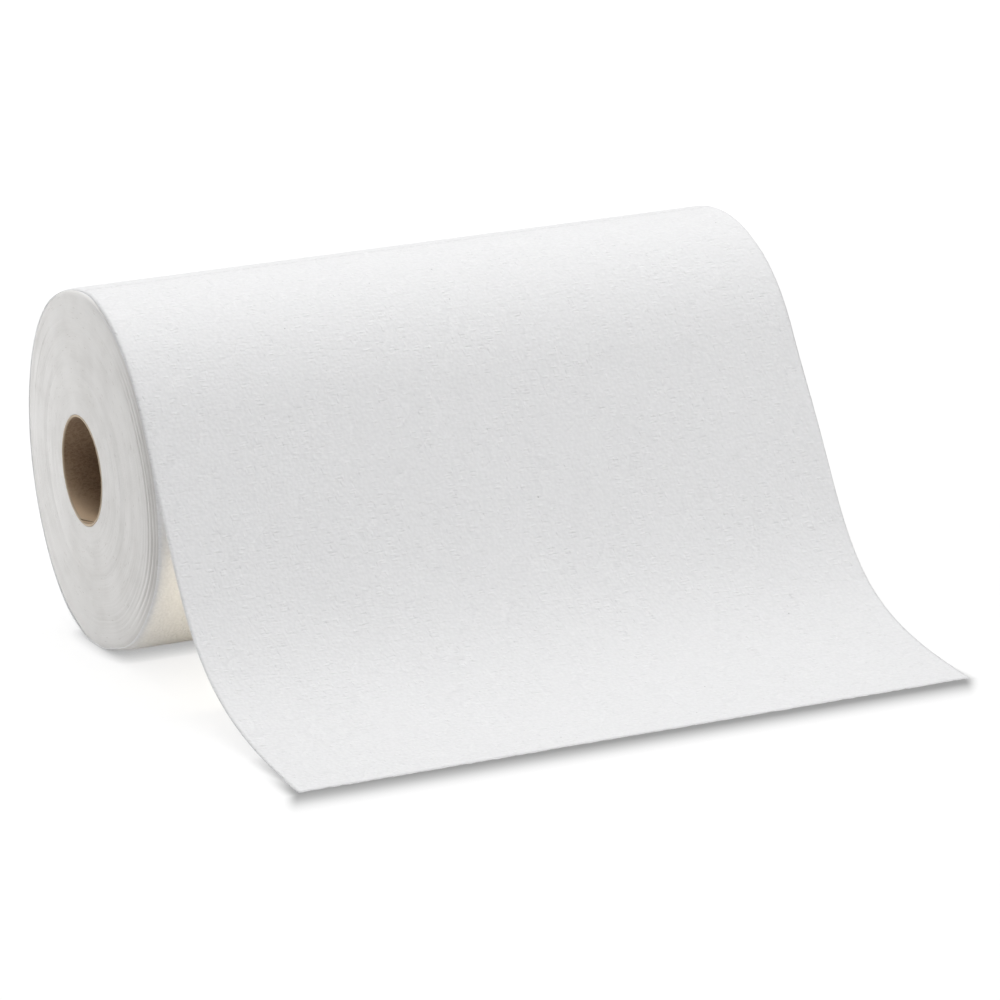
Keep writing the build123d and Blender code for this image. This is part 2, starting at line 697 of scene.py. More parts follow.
@dataclass(frozen=True)
class TowelPaperFinish:
    """Matt white two-ply tissue, pressed, with rare flecks and a line of slits one sheet from its torn end.

    Attributes:
        white: The paper's colour with painted light, where it stands up.
        hollow_shade: Its colour with painted shade, down in the pressed places.
        mark: The colour of a fleck, and of the painted shade in a slit.
        roughness: How matt it is.
        specular: Its specular level.
        tone_edge: The tones between which the colour goes from the painted shade to the painted light.
        cloudy: The weight of broad clouds in the tone.
        fibre_size: The size of its fibres, in mm.
        fibre_height: How high they stand, where the pressing is 1.
        relief: How deep the pressing is, in mm.
        fleck_dark: How dark a fleck is, where 1 is the mark's colour.
        slit_dark: How dark the painted shade in a slit is.
        sheet_length: The distance from the torn end to the line of slits, in mm.
        slit: The length of a slit and of the tie after it, in mm.
        slit_edge: The distances from the line, in mm, between which a slit sets in.
        slit_end: How soft the end of a slit is, in mm.
    """

    white: Colour = (0.952, 0.952, 0.958, 1.0)
    hollow_shade: Colour = (0.790, 0.790, 0.797, 1.0)
    mark: Colour = (0.24, 0.23, 0.22, 1.0)
    roughness: float = 0.92
    specular: float = 0.15
    painted_shade_edge: Range = (-0.6, 0.5)
    cloudy: float = 0.14
    fibre_size: float = 0.8
    fibre_height: float = 0.06
    relief: float = 0.30
    fleck_dark: float = 0.5
    slit_dark: float = 0.16
    sheet_length: float = 279.4
    slit: tuple[float, float] = (3.2, 1.0)
    slit_edge: Range = (0.20, 0.06)
    slit_end: float = 0.2

    def slits(self, sheet: NodeSheet, place: Socket) -> Socket:
        """A mask of the slits, where shade is painted: near one sheet length along, and off the ties across.

        Args:
            sheet: The sheet that adds the nodes.
            place: The place over the paper, in mm, across and along.

        Returns:
            1 in a slit and 0 elsewhere.
        """
        across, along, _ = sheet.split(place)
        off_line = sheet.math("ABSOLUTE", sheet.math("SUBTRACT", along, self.sheet_length))
        length, tie = self.slit
        turn = sheet.math("FLOORED_MODULO", across, length + tie)
        near = sheet.step(off_line, self.slit_edge)
        return sheet.product(near, sheet.step(turn, (length, length - self.slit_end)))

    def material(self, groups: SharedGroups) -> Material:
        """Makes the material, which reads the piece's UV map in metres over the paper.

        Args:
            groups: The shared node groups.

        Returns:
            The material.
        """
        material, sheet, shader = principled("towel_paper", self.roughness, self.specular)
        chart = sheet.tree.nodes.new("ShaderNodeUVMap")
        chart.uv_map = PAPER_MAP
        place = sheet.vector("MULTIPLY", chart.outputs[0], (1.0 / MM, 1.0 / MM, 1.0))
        pressed = sheet.group(groups.pressed, place=place)
        fibres = sheet.group(groups.fibres, place=place, size=self.fibre_size)
        slits = self.slits(sheet, place)
        cloud = sheet.product(sheet.math("SUBTRACT", fibres["Cloud"], 0.5), self.cloudy)
        # The tone is painted light and shade of the pressing, with random clouds.
        tone = sheet.step(sheet.math("ADD", pressed["Painted_shade"], cloud), self.painted_shade_edge)
        # Flecks are the paper's own; the dark in a slit is painted shade.
        fleck, slit = sheet.product(pressed["Fleck"], self.fleck_dark), sheet.product(slits, self.slit_dark)
        dark = sheet.math("MAXIMUM", fleck, slit)
        paper = sheet.blend(tone, self.hollow_shade, self.white)
        sheet.plug(shader.inputs["Base Color"], sheet.blend(dark, paper, self.mark))
        height = sheet.math("MULTIPLY_ADD", fibres["Tangle"], self.fibre_height, pressed["Height"])
        sheet.raise_surface(shader, sheet.math("SUBTRACT", height, slits), self.relief, 1.0)
        return material


@dataclass(frozen=True)
class TurnEdgeFinish:
    """The sawn edges of the wound turns: warm grey-white, streaked along the turns and softly mottled.

    The turns' noises run over the number of the turn and over the direction round the roll.

    Attributes:
        pale: The colour of the edges that stand out, painted lighter by the relief, and of paler mottling.
        deep: The colour between them, painted darker by the relief, and of darker mottling.
        gap: The painted shade down in a gap between loose turns, and in a nick.
        roughness: How matt it is.
        specular: Its specular level.
        round_scale: The scale of the noises round the roll.
        streak_stretch: The scale of the fine streaks from turn to turn and round the roll.
        streak_detail: The detail and the roughness of their noise.
        broad_stretch: The scale of the broad streaks.
        fibre_size: The size of the fibres, in mm.
        level_parts: The weights of the fine streaks, the broad ones and the clouds in the colour.
        level_edge: The levels between which the colour goes from deep to pale.
        nick_stretch: The scale of the nicks' cells from turn to turn and round the roll.
        nick_edge: Where a nick sets in, in the distance from its middle.
        nick_rarity: Which cells have a nick, in the number of the cell.
        nick_dark: How dark the painted shade in a nick is, where 1 is the gap's shade.
        relief: How deep the finest lines are, in mm.
        fibre_height: The weight of the fibres in the relief.
        relief_strength: How strongly the relief is lit.
    """

    pale: Colour = (0.858, 0.848, 0.834, 1.0)
    deep: Colour = (0.775, 0.763, 0.746, 1.0)
    gap: Colour = (0.520, 0.490, 0.455, 1.0)
    roughness: float = 0.95
    specular: float = 0.10
    round_scale: float = 3.0
    streak_stretch: tuple[float, float, float] = (0.8, 1.0, 1.0)
    streak_detail: tuple[float, float] = (3.0, 0.65)
    broad_stretch: tuple[float, float, float] = (0.12, 0.6, 0.6)
    fibre_size: float = 1.4
    level_parts: tuple[float, float, float] = (0.18, 0.24, 0.58)
    level_edge: Range = (0.30, 0.62)
    nick_stretch: tuple[float, float] = (0.6, 9.0)
    nick_edge: Range = (0.24, 0.08)
    nick_rarity: Range = (0.90, 0.94)
    nick_dark: float = 0.5
    relief: float = 0.10
    fibre_height: float = 0.25
    relief_strength: float = 0.8

    def nicks(self, sheet: NodeSheet, turn: Socket, back: Socket, up: Socket) -> Socket:
        """A mask of small nicks, in a few of the cells over the turns and the angle round the roll.

        Args:
            sheet: The sheet that adds the nodes.
            turn: The number of the turn.
            back: How far back the direction from the roll's middle points, from -1 to 1.
            up: How far up it points.

        Returns:
            1 in a nick and 0 elsewhere.
        """
        per_turn, round_it = self.nick_stretch
        along = sheet.product(sheet.math("ARCTAN2", up, back), round_it)
        away, kind, _ = sheet.cells(sheet.combine(sheet.product(turn, per_turn), along))
        return sheet.product(sheet.step(away, self.nick_edge), sheet.step(kind, self.nick_rarity))

    def material(self, groups: SharedGroups) -> Material:
        """Makes the material, which reads the piece's place and its turn and gap attributes.

        Args:
            groups: The shared node groups.

        Returns:
            The material.
        """
        material, sheet, shader = principled("turn_edges", self.roughness, self.specular)
        turn, gap, place = sheet.stored("turn"), sheet.stored("gap"), sheet.place()
        outward = sheet.vector("NORMALIZE", sheet.vector("MULTIPLY", place, (0.0, 1.0, 1.0)))
        _, back, up = sheet.split(outward)
        scale = self.round_scale
        round_it = sheet.combine(turn, sheet.product(back, scale), sheet.product(up, scale))
        detail, roughness = self.streak_detail
        streak_place = sheet.vector("MULTIPLY", round_it, self.streak_stretch)
        streak = sheet.noise(streak_place, 1.0, detail, roughness)
        broad = sheet.noise(sheet.vector("MULTIPLY", round_it, self.broad_stretch), 1.0)
        fibres = sheet.group(groups.fibres, place=sheet.place_in_mm(), size=self.fibre_size)
        # The fine streaks also make the relief, so their part of the colour is painted shade; the broad
        # streaks and clouds are random mottling.
        level = sheet.weighted(*zip((streak, broad, fibres["Cloud"]), self.level_parts))
        paper = sheet.blend(sheet.step(level, self.level_edge), self.deep, self.pale)
        # Painted shade: the gaps between loose turns and the nicks are painted dark.
        nick = sheet.product(self.nicks(sheet, turn, back, up), self.nick_dark)
        dark = sheet.math("MAXIMUM", gap, nick)
        sheet.plug(shader.inputs["Base Color"], sheet.blend(dark, paper, self.gap))
        height = sheet.math("MULTIPLY_ADD", fibres["Tangle"], self.fibre_height, streak)
        sheet.raise_surface(shader, height, self.relief, self.relief_strength)
        return material


@dataclass(frozen=True)
class CoreBoardFinish:
    """Grey-brown board made of waste paper, darker along the seam where two turns of its ply meet.

    Attributes:
        light: Its paler fibres.
        dark: Its darker fibres.
        painted_light: The colour of the light that is painted on the ply beside its seam.
        seam: The colour down in the seam.
        cut_end: The colour of the cut ends.
        roughness: How matt it is.
        specular: Its specular level.
        fibre_stretch: How the fibres are drawn out, as shares of the place along, back and up.
        fibre_size: The size of the fibres, in mm.
        tangle_part: The weight of the tangle in the colour, where that of the clouds is 1.
        level_edge: The levels between which the colour goes from dark to light.
        cut_edge: The distances from the tube's middle, in mm, between which the cut end sets in.
        relief: How deep the fibres are, in mm.
        relief_strength: How strongly the relief is lit.
    """

    light: Colour = (0.430, 0.315, 0.215, 1.0)
    dark: Colour = (0.270, 0.182, 0.122, 1.0)
    painted_light: Colour = (0.850, 0.660, 0.465, 1.0)
    seam: Colour = (0.120, 0.080, 0.050, 1.0)
    cut_end: Colour = (0.620, 0.510, 0.385, 1.0)
    roughness: float = 0.85
    specular: float = 0.25
    fibre_stretch: tuple[float, float, float] = (0.45, 1.0, 1.0)
    fibre_size: float = 1.1
    tangle_part: float = 0.35
    level_edge: Range = (0.35, 0.95)
    cut_edge: Range = (138.7, 139.3)
    relief: float = 0.08
    relief_strength: float = 0.8

    def material(self, groups: SharedGroups) -> Material:
        """Makes the material, which reads the piece's place and its seam and painted_light attributes.

        Args:
            groups: The shared node groups.

        Returns:
            The material.
        """
        material, sheet, shader = principled("core_board", self.roughness, self.specular)
        in_mm = sheet.place_in_mm()
        drawn_out = sheet.vector("MULTIPLY", in_mm, self.fibre_stretch)
        fibres = sheet.group(groups.fibres, place=drawn_out, size=self.fibre_size)
        level = sheet.math("MULTIPLY_ADD", fibres["Tangle"], self.tangle_part, fibres["Cloud"])
        board = sheet.blend(sheet.step(level, self.level_edge), self.dark, self.light)
        # Painted light: a pale band beside the seam.
        board = sheet.blend(sheet.stored("painted_light"), board, self.painted_light)
        along = sheet.math("ABSOLUTE", sheet.split(in_mm)[0])
        board = sheet.blend(sheet.step(along, self.cut_edge), board, self.cut_end)
        sheet.plug(shader.inputs["Base Color"], sheet.blend(sheet.stored("seam"), board, self.seam))
        sheet.raise_surface(shader, fibres["Tangle"], self.relief, self.relief_strength)
        return material


# The roll


@dataclass(frozen=True)
class Lobe:
    """A swelling of the soft roll's outline.

    Attributes:
        count: How many times it comes in one turn.
        height: How far it stands out, in mm.
        crest: The angle of its first crest times the count, in degrees.
    """

    count: int
    height: float
    crest: float


@dataclass(frozen=True)
class Belly:
    """Where the roll's weight makes it bulge, low on the front.

    Attributes:
        angle: Its middle, in degrees.
        height: How far it stands out, in mm.
        reach: Its half width, in degrees.
    """

    angle: float = 241.0
    height: float = 2.4
    reach: float = 17.0


@dataclass(frozen=True)
class SoftSection:
    """The roll's cross-section: a circle with a few soft lobes, sagged flat where it lies on the table.

    Angles are in degrees from the back, over the top and down the front.

    Attributes:
        table: The table's height, in mm.
        centre: The section's middle, Y and Z, in mm.
        radius: Its mean radius, in mm.
        lobes: Its swellings.
        belly: Where its weight makes it bulge.
        sag: The height over the table up to which the paper sags towards it, in mm.
        sunk: How far under the table the outline lies flat, in mm, because the turn of paper that rests there
            already lies that much further in.
        front: The angles between which a sheet can leave the roll.
        front_tries: How many angles are tried between them.
    """

    table: float
    centre: tuple[float, float] = (-10.2, 1.8)
    radius: float = 71.8
    lobes: tuple[Lobe, ...] = (
        Lobe(2, 0.5, 164.0),
        Lobe(3, 1.4, 190.0),
        Lobe(4, 0.8, 87.0),
        Lobe(5, 0.4, -60.0),
    )
    belly: Belly = Belly()
    sag: float = 2.4
    sunk: float = 0.30
    front: Range = (100.0, 175.0)
    front_tries: int = 751

    def outline(self, angle: Array, depth: Array | float = 0.0) -> Array:
        """Points on the outline, or inside it.

        The radius is the mean radius and, for each lobe, its height times the cosine of its count times the
        angle, and the belly is a bell. A point lower than the sag comes down towards the lowest level, and
        is then drawn in by the depth.

        Args:
            angle: Angles in degrees.
            depth: How far inside the outline, in mm.

        Returns:
            Y and Z of each point, in mm, on the last axis.
        """
        turned = np.radians(angle)
        radius = self.radius + sum(
            lobe.height * np.cos(lobe.count * turned - np.radians(lobe.crest)) for lobe in self.lobes
        )
        off_belly = np.mod(angle - self.belly.angle + 180.0, 360.0) - 180.0
        radius = radius + self.belly.height * hump(off_belly, 0.0, self.belly.reach)
        out, up = radius * np.cos(turned), radius * np.sin(turned)
        lowest = self.table - self.sunk - self.centre[1]
        up = lowest + (up - lowest) * ease((up - lowest) / self.sag)
        kept = 1.0 - depth / np.hypot(out, up)
        return np.stack([self.centre[0] + out * kept, self.centre[1] + up * kept], axis=-1)

    def leaving_angle(self, slope: float) -> float:
        """Where on the front the outline runs down at a slope.

        Args:
            slope: The slope, in degrees below level.

        Returns:
            The angle in degrees.
        """
        angle = np.linspace(*self.front, self.front_tries)
        run = np.gradient(self.outline(angle), axis=0)
        return float(np.interp(slope, np.degrees(np.arctan2(-run[:, 1], -run[:, 0])), angle))


@dataclass(frozen=True)
class HangingEdge:
    """How one side edge of the free sheet hangs, from the roll to the torn end.

    Attributes:
        slope: How steeply it leaves the roll, in degrees below level.
        length: Its free length, in mm.
        easing: How sharply it eases from its straight hang to the table.
        lift: How far its torn end stands off the table, in mm.
        droop: How far the paper's edge droops over the roll's soft rim, in mm.
        droop_fade: How far along the free sheet the droop lasts, in mm.
    """

    slope: float
    length: float
    easing: float
    lift: float
    droop: float
    droop_fade: float


@dataclass(frozen=True)
class Wave:
    """A gentle wave of the free sheet.

    Attributes:
        across: How many times it comes across the paper.
        along: How many times it comes along the free sheet.
        start: How much of a wave it is on at the start.
        height: Its height, where that of the broadest wave is 1.
    """

    across: float
    along: float
    start: float
    height: float


@dataclass(frozen=True)
class SetBack:
    """How the shown edge of the outer turn stands back from the roll's end.

    Places are in turns, from where the sheet leaves the roll, back over the top and round.

    Attributes:
        size: How far it stands back over the top, in mm.
        whole: The place by which it stands back that far.
        behind: The places between which it comes out again behind.
        low_front: The places between which it goes back again low on the front.
        low_part: How far it stands back there, as a share of its size.
    """

    size: float = 2.6
    whole: float = 0.165
    behind: Range = (0.17, 0.27)
    low_front: Range = (0.58, 0.68)
    low_part: float = 0.35

    def at(self, turns: Array) -> Array:
        """How far the edge stands back, in mm: by the square of the way up the front, and eased elsewhere."""
        over_top = np.minimum(turns / self.whole, 1.0) ** 2 * (1.0 - eased(turns, self.behind))
        return (over_top + self.low_part * eased(turns, self.low_front)) * self.size


@dataclass
class LastSheet:
    """The outer turn of towel and the free sheet that is drawn off it, as one strip of paper.

    Attributes:
        section: The roll that it is wound on.
        width: The paper's width, in mm.
        thickness: The paper's thickness, in mm.
        shown_edge: The hanging edge at the shown end.
        far_edge: The hanging edge at the far end.
        halving: The shares of the free length between which the halving length lies.
        halving_tries: How many halving lengths are tried between them.
        turns: How many turns are wound round the roll.
        pitch: How much each turn lies further in, in mm.
        slack: How loose the turn under the leaving sheet is, in mm.
        slack_bell: The turn at which it is loosest, and how many turns that reaches either way.
        droop_width: The width of paper that droops over a rim, in mm.
        low_droop: How much more it droops low on the front, where 1 is twice as much.
        low_turns: The turns between which it goes over to that.
        wave: The height of the free sheet's broadest wave, in mm.
        waves: Its waves.
        set_back: How the shown edge stands back from the roll's end.
        crowding: How strongly the columns crowd towards the side edges, where 0 is evenly.
        tear: The depth of the torn end's fine teeth, in mm.
        longest_tooth: The length of the longest tooth, where 1 is that depth.
        tear_seed: The seed of the teeth.
        frayed: The share of the thickness that is pulled away at the torn end.
        frayed_rows: How many rows from the torn end that reaches.
        hang_rows: Rows of the mesh along the free sheet.
        wound_rows: Rows along the wound part.
        columns: Columns across the paper.
    """

    section: SoftSection
    width: float = 279.4
    thickness: float = 0.5
    shown_edge: HangingEdge = HangingEdge(62.0, 195.0, easing=4.7, lift=0.35, droop=0.6, droop_fade=20.0)
    far_edge: HangingEdge = HangingEdge(59.9, 196.9, easing=5.9, lift=1.8, droop=2.3, droop_fade=30.0)
    halving: Range = (0.35, 0.95)
    halving_tries: int = 601
    turns: float = 1.3
    pitch: float = 0.47
    slack: float = 0.7
    slack_bell: tuple[float, float] = (1.03, 0.07)
    droop_width: float = 4.0
    low_droop: float = 1.2
    low_turns: Range = (0.62, 0.74)
    wave: float = 0.45
    waves: tuple[Wave, ...] = (Wave(1.3, 0.4, 0.1, 1.0), Wave(2.6, -0.9, 0.0, 0.6), Wave(5.1, 1.7, 0.3, 0.35))
    set_back: SetBack = SetBack()
    crowding: float = 0.11
    tear: float = 0.22
    longest_tooth: float = 2.0
    tear_seed: int = 5
    frayed: float = 0.65
    frayed_rows: float = 1.3
    hang_rows: int = 96
    wound_rows: int = 180
    columns: int = 141

    def depth(self, turns: Array) -> Array:
        """How far in the strip lies after some turns: the pitch for each, and the slack as a bell."""
        return self.pitch * turns + self.slack * hump(turns, *self.slack_bell)

    def hang(self, edge: HangingEdge) -> Array:
        """One side edge of the free sheet's upper face, from the roll down to its torn end.

        Its slope is the leaving slope over one and the distance along, in halving lengths, to the power of
        the easing. The halving length is the one that brings the torn end down to its lift.

        Args:
            edge: How this edge hangs.

        Returns:
            Y and Z of each point, in mm.
        """
        start = self.section.outline(np.array([self.section.leaving_angle(edge.slope)]))[0]
        along = np.linspace(0.0, edge.length, self.hang_rows)
        step = along[1]
        halving = np.linspace(*self.halving, self.halving_tries)[:, None] * edge.length
        slope = np.radians(edge.slope) / (1.0 + (along / halving) ** edge.easing)
        fallen = running_total(np.sin(slope), step)[:, -1]
        wanted = start[1] - self.section.table - self.thickness - edge.lift
        slope = np.array([np.interp(wanted, fallen, slope[:, place]) for place in range(self.hang_rows)])
        way = [running_total(np.cos(slope), step), running_total(np.sin(slope), step)]
        return start - np.stack(way, axis=-1)

    def edge_path(self, edge: HangingEdge) -> Array:
        """One side edge of the whole strip, from the torn end, over the roll, to its hidden inner end.

        Args:
            edge: How this edge hangs.

        Returns:
            Y and Z of each point, in mm.
        """
        wound = np.linspace(0.0, self.turns, self.wound_rows + 1)
        angle = self.section.leaving_angle(edge.slope) - 360.0 * wound
        on_roll = self.section.outline(angle, self.depth(wound))
        return np.concatenate([self.hang(edge)[:0:-1], on_roll])

    def droop(self, across: Array) -> Array:
        """How far each point droops over a rim.

        The droop is a quarter round at each edge. It fades along the free sheet by a bell, and it grows
        low on the front of the roll.

        Args:
            across: Places across the paper, in mm.

        Returns:
            The droop in mm, rows by columns.
        """
        fall = np.zeros((self.hang_rows + self.wound_rows, across.size))
        start = self.width / 2 - self.droop_width
        wound = np.linspace(0.0, self.turns, self.wound_rows)
        on_roll = 1.0 + self.low_droop * eased(wound, self.low_turns)
        for end, edge in ((End.SHOWN, self.shown_edge), (End.FAR, self.far_edge)):
            along = np.linspace(edge.length, 0.0, self.hang_rows)
            size = np.concatenate([hump(along, 0.0, edge.droop_fade), on_roll])
            rim = rounded_off((across * end.value - start) / self.droop_width)
            fall += edge.droop * size[:, None] * rim[None, :]
        return fall

    def swell(self, rows: Array, across: Array) -> Array:
        """How far the waves lift each point of the free sheet.

        The waves are sines across and along the sheet, times the square of another that keeps them still at
        the roll and at the torn end.

        Args:
            rows: The numbers of the rows, from the torn end.
            across: Places across the paper, in mm.

        Returns:
            The lift in mm, rows by columns.
        """
        share = np.clip(rows / (self.hang_rows - 1), 0.0, 1.0)
        still = np.where(rows < self.hang_rows, np.sin(np.pi * share) ** 2, 0.0)
        x, s = across[None, :] / self.width, share[:, None]
        total = sum(
            wave.height * np.sin(2 * np.pi * (wave.across * x + wave.along * s + wave.start))
            for wave in self.waves
        )
        return self.wave * still[:, None] * total

    def aside(self, across: Array) -> Array:
        """How far each point is drawn aside, towards the far end.

        The shown edge is drawn in by its set-back. The far edge stays, and the paper between follows.

        Args:
            across: Places across the paper, in mm.

        Returns:
            The shift of X in mm, rows by columns.
        """
        wound = np.linspace(0.0, self.turns, self.wound_rows)
        rows = np.concatenate([np.zeros(self.hang_rows), self.set_back.at(wound)])
        return rows[:, None] * (0.5 - across / self.width)[None, :]

    def upper_face(self) -> tuple[Array, Array, Array]:
        """The strip's outer face: the two side edges, with straight lines across between them.

        Returns:
            The points in mm, rows by columns, their outward normals, and the place over the paper in mm.
        """
        share = np.linspace(-1.0, 1.0, self.columns)
        across = (share + self.crowding * np.sin(np.pi * share)) * self.width / 2
        shown, far = self.edge_path(self.shown_edge), self.edge_path(self.far_edge)
        part = (across / self.width + 0.5)[None, :, None]
        lines = shown[:, None, :] * (1.0 - part) + far[:, None, :] * part
        x = np.broadcast_to(across[None, :, None], lines.shape[:2] + (1,))
        points = np.concatenate([x, lines], axis=-1)
        lift = self.swell(np.arange(len(points)), across) - self.droop(across)
        points = points + self.normals(points) * lift[..., None]
        points[..., 0] += self.aside(across)
        steps = np.linalg.norm(np.diff((shown + far) / 2, axis=0), axis=-1)
        along = np.concatenate([[0.0], np.cumsum(steps)])
        place = np.stack(np.broadcast_arrays(across[None, :], along[:, None]), axis=-1)
        teeth = np.random.default_rng(self.tear_seed).normal(0.0, self.tear, self.columns)
        longest = self.longest_tooth * self.tear
        points[0, :, 1] += np.clip(teeth, -longest, longest)
        return points, self.normals(points), place

    def corners(self) -> tuple[tuple[float, float], tuple[float, float]]:
        """Where the torn end's two corners are.

        Returns:
            X and Y of each in mm, from the shown end to the far end.
        """
        half = self.width / 2
        shown, far = (float(self.hang(edge)[-1, 0]) for edge in (self.shown_edge, self.far_edge))
        return (-half, shown), (half, far)

    @staticmethod
    def normals(points: Array) -> Array:
        """Outward normals of a grid of points: the cross product of its steps across and along."""
        normal = np.cross(np.gradient(points, axis=1), np.gradient(points, axis=0))
        return normal / np.linalg.norm(normal, axis=-1, keepdims=True)

    def build(self, paper: Material) -> Object:
        """Makes the strip as a closed piece: an outer and an inner face, two side edges and two ends.

        It is frayed thin over the last rows before the torn end, by a bell of the rows.

        Args:
            paper: The towel's material.

        Returns:
            The piece.
        """
        outer, normal, place = self.upper_face()
        thin = 1.0 - self.frayed * hump(np.arange(len(outer)), 0.0, self.frayed_rows)
        inner = outer - normal * (self.thickness * thin[:, None, None])
        number = np.arange(outer[..., 0].size).reshape(outer.shape[:2])
        below = number + number.size
        mesh = QuadMesh(np.concatenate([outer.reshape(-1, 3), inner.reshape(-1, 3)]))
        mesh.add(grid_quads(number)[:, ::-1])
        mesh.add(grid_quads(below))
        sides = ((number[:, 0], below[:, 0]), (below[:, -1], number[:, -1]))
        ends = ((below[0], number[0]), (number[-1], below[-1]))
        for pair in sides + ends:
            mesh.add(grid_quads(np.stack(pair, axis=1)), smooth=False)
        piece = mesh.build("last_sheet", [paper])
        mark_surface(piece, PAPER_MAP, np.concatenate([place.reshape(-1, 2)] * 2))
        return piece


@dataclass(frozen=True)
class EndRelief:
    """How unevenly the sawn edges of the turns stand in an end.

    Attributes:
        single: How unevenly single turns stand, in mm.
        grouped: How unevenly groups of turns stand, in mm.
        group_reaches: The reaches of the two moving means that make the groups, in turns.
        around: How unevenly one turn stands round the roll, where 1 is as much as single turns.
        waves: How many sines one turn varies by.
        wave_reach: The reach of the moving mean over their sizes, in turns.
        seeds: The seed of each end.
    """

    single: float = 0.035
    grouped: float = 0.065
    group_reaches: tuple[int, int] = (5, 4)
    around: float = 1.6
    waves: int = 8
    wave_reach: int = 3
    seeds: dict[End, int] = field(default_factory=lambda: {End.SHOWN: 11, End.FAR: 23})

    def depths(self, end: End, turns: int, columns: int) -> Array:
        """How far each turn stands back in an end.

        Single turns differ by noise, groups of turns by smoothed noise, and each turn varies round the roll
        by a few sines whose sizes change slowly from turn to turn and fall with the root of their count.

        Args:
            end: Which end.
            turns: How many turns there are.
            columns: How many places there are round the roll.

        Returns:
            Depths in mm, from 0 up, turns by columns.
        """
        chance = np.random.default_rng(self.seeds[end])
        single = chance.normal(0.0, self.single, (turns, 1))
        grouped = chance.normal(0.0, 1.0, (turns, 1))
        for reach in self.group_reaches:
            grouped = smoothed(grouped, reach)
        turned = np.linspace(0.0, 2 * np.pi, columns, endpoint=False)
        count = np.arange(1, self.waves + 1)
        sizes = smoothed(chance.normal(0.0, 1.0, (turns, 2, self.waves)), self.wave_reach) / np.sqrt(count)
        waves = count[:, None] * turned[None, :]
        around = sizes[:, 0] @ np.cos(waves) + sizes[:, 1] @ np.sin(waves)
        depth = single + self.grouped * grouped / grouped.std() + self.single * self.around * around
        return depth - depth.min()


@dataclass(frozen=True)
class LooseGaps:
    """The gaps between the loose outer turns, which open along the front.

    Attributes:
        places: How far in each gap is, and how deep it is, in mm.
        width: The half width of a gap, in mm.
        front: The angle where they are deepest, and how far they reach either way, in degrees.
        darkest: How deep a gap must be for its painted shade to be darkest, in mm.
    """

    places: tuple[tuple[float, float], ...] = ((1.5, 0.7), (3.4, 1.3), (6.0, 1.8), (8.7, 1.0))
    width: float = 0.42
    front: tuple[float, float] = (176.0, 36.0)
    darkest: float = 2.0

    def depths(self, inset: Array, angle: Array) -> Array:
        """How deep the gaps are: a bell across each, and one along the front.

        Args:
            inset: How far inside the outline each point is, in mm.
            angle: Angles round the roll, in degrees.

        Returns:
            Depths in mm, rows by columns.
        """
        across = sum(depth * hump(inset, middle, self.width) for middle, depth in self.places)
        return across * hump(angle, *self.front)


@dataclass(frozen=True)
class SoftRim:
    """The rounded rim of an end, softest at the front and nearly square at the back.

    Attributes:
        width: How far in from the outline it is rounded, in mm.
        depth: How far back along the roll it is rounded at each end, in mm.
        middle: Its size over the middle, as a share of its whole size.
        lost: How much of that it loses towards the back, and gains towards the front.
        lost_behind: How much more it loses behind.
        rows: Its rows of the mesh.
        turns: How many turns of paper show in it.
    """

    width: float = 5.0
    depth: dict[End, float] = field(default_factory=lambda: {End.SHOWN: 2.5, End.FAR: 3.2})
    middle: float = 0.84
    lost: float = 0.18
    lost_behind: float = 0.48
    rows: int = 16
    turns: int = 11

    def size(self, end: End, angle: Array) -> tuple[Array, Array]:
        """The rim's size round the roll, by the cosine of the angle from the back.

        Args:
            end: Which end.
            angle: Angles round the roll, in degrees.

        Returns:
            Its width and its depth in mm.
        """
        backward = np.cos(np.radians(angle))
        soft = self.middle - self.lost * backward - self.lost_behind * ease(backward)
        return self.width * soft, self.depth[end] * soft


